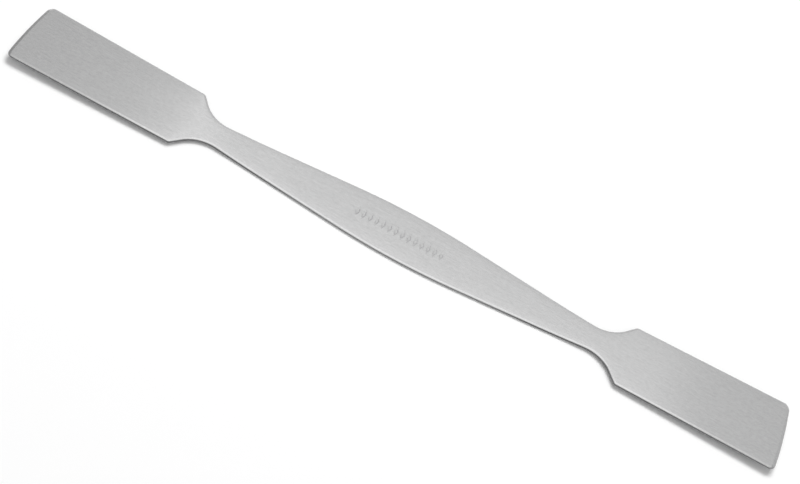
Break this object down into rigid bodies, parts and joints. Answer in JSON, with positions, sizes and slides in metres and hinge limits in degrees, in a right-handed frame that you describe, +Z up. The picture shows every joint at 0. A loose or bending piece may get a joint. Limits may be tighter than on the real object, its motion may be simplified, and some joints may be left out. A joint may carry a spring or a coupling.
{
  "type": "sculpting spatula",
  "caption": "Double-ended flat steel spatula with two rectangular paddle blades, narrow necks and a handle that is widest in the middle.",
  "frame": {"origin": "on the table, under the middle of the tool's length and width; the handle's flat underside lies in the plane Z = 0", "axes": "+X along the tool towards the slightly shorter right blade, +Y across it, +Z up out of the stamped upper face"},
  "size_m": [0.2001, 0.0192, 0.0021],
  "materials": {
    "steel": "satin, finely brushed along the length"
  },
  "bodies": {
    "root": {"handle": "steel", "left_neck": "steel", "right_neck": "steel", "left_blade": "steel", "right_blade": "steel"}
  },
  "joints": []
}
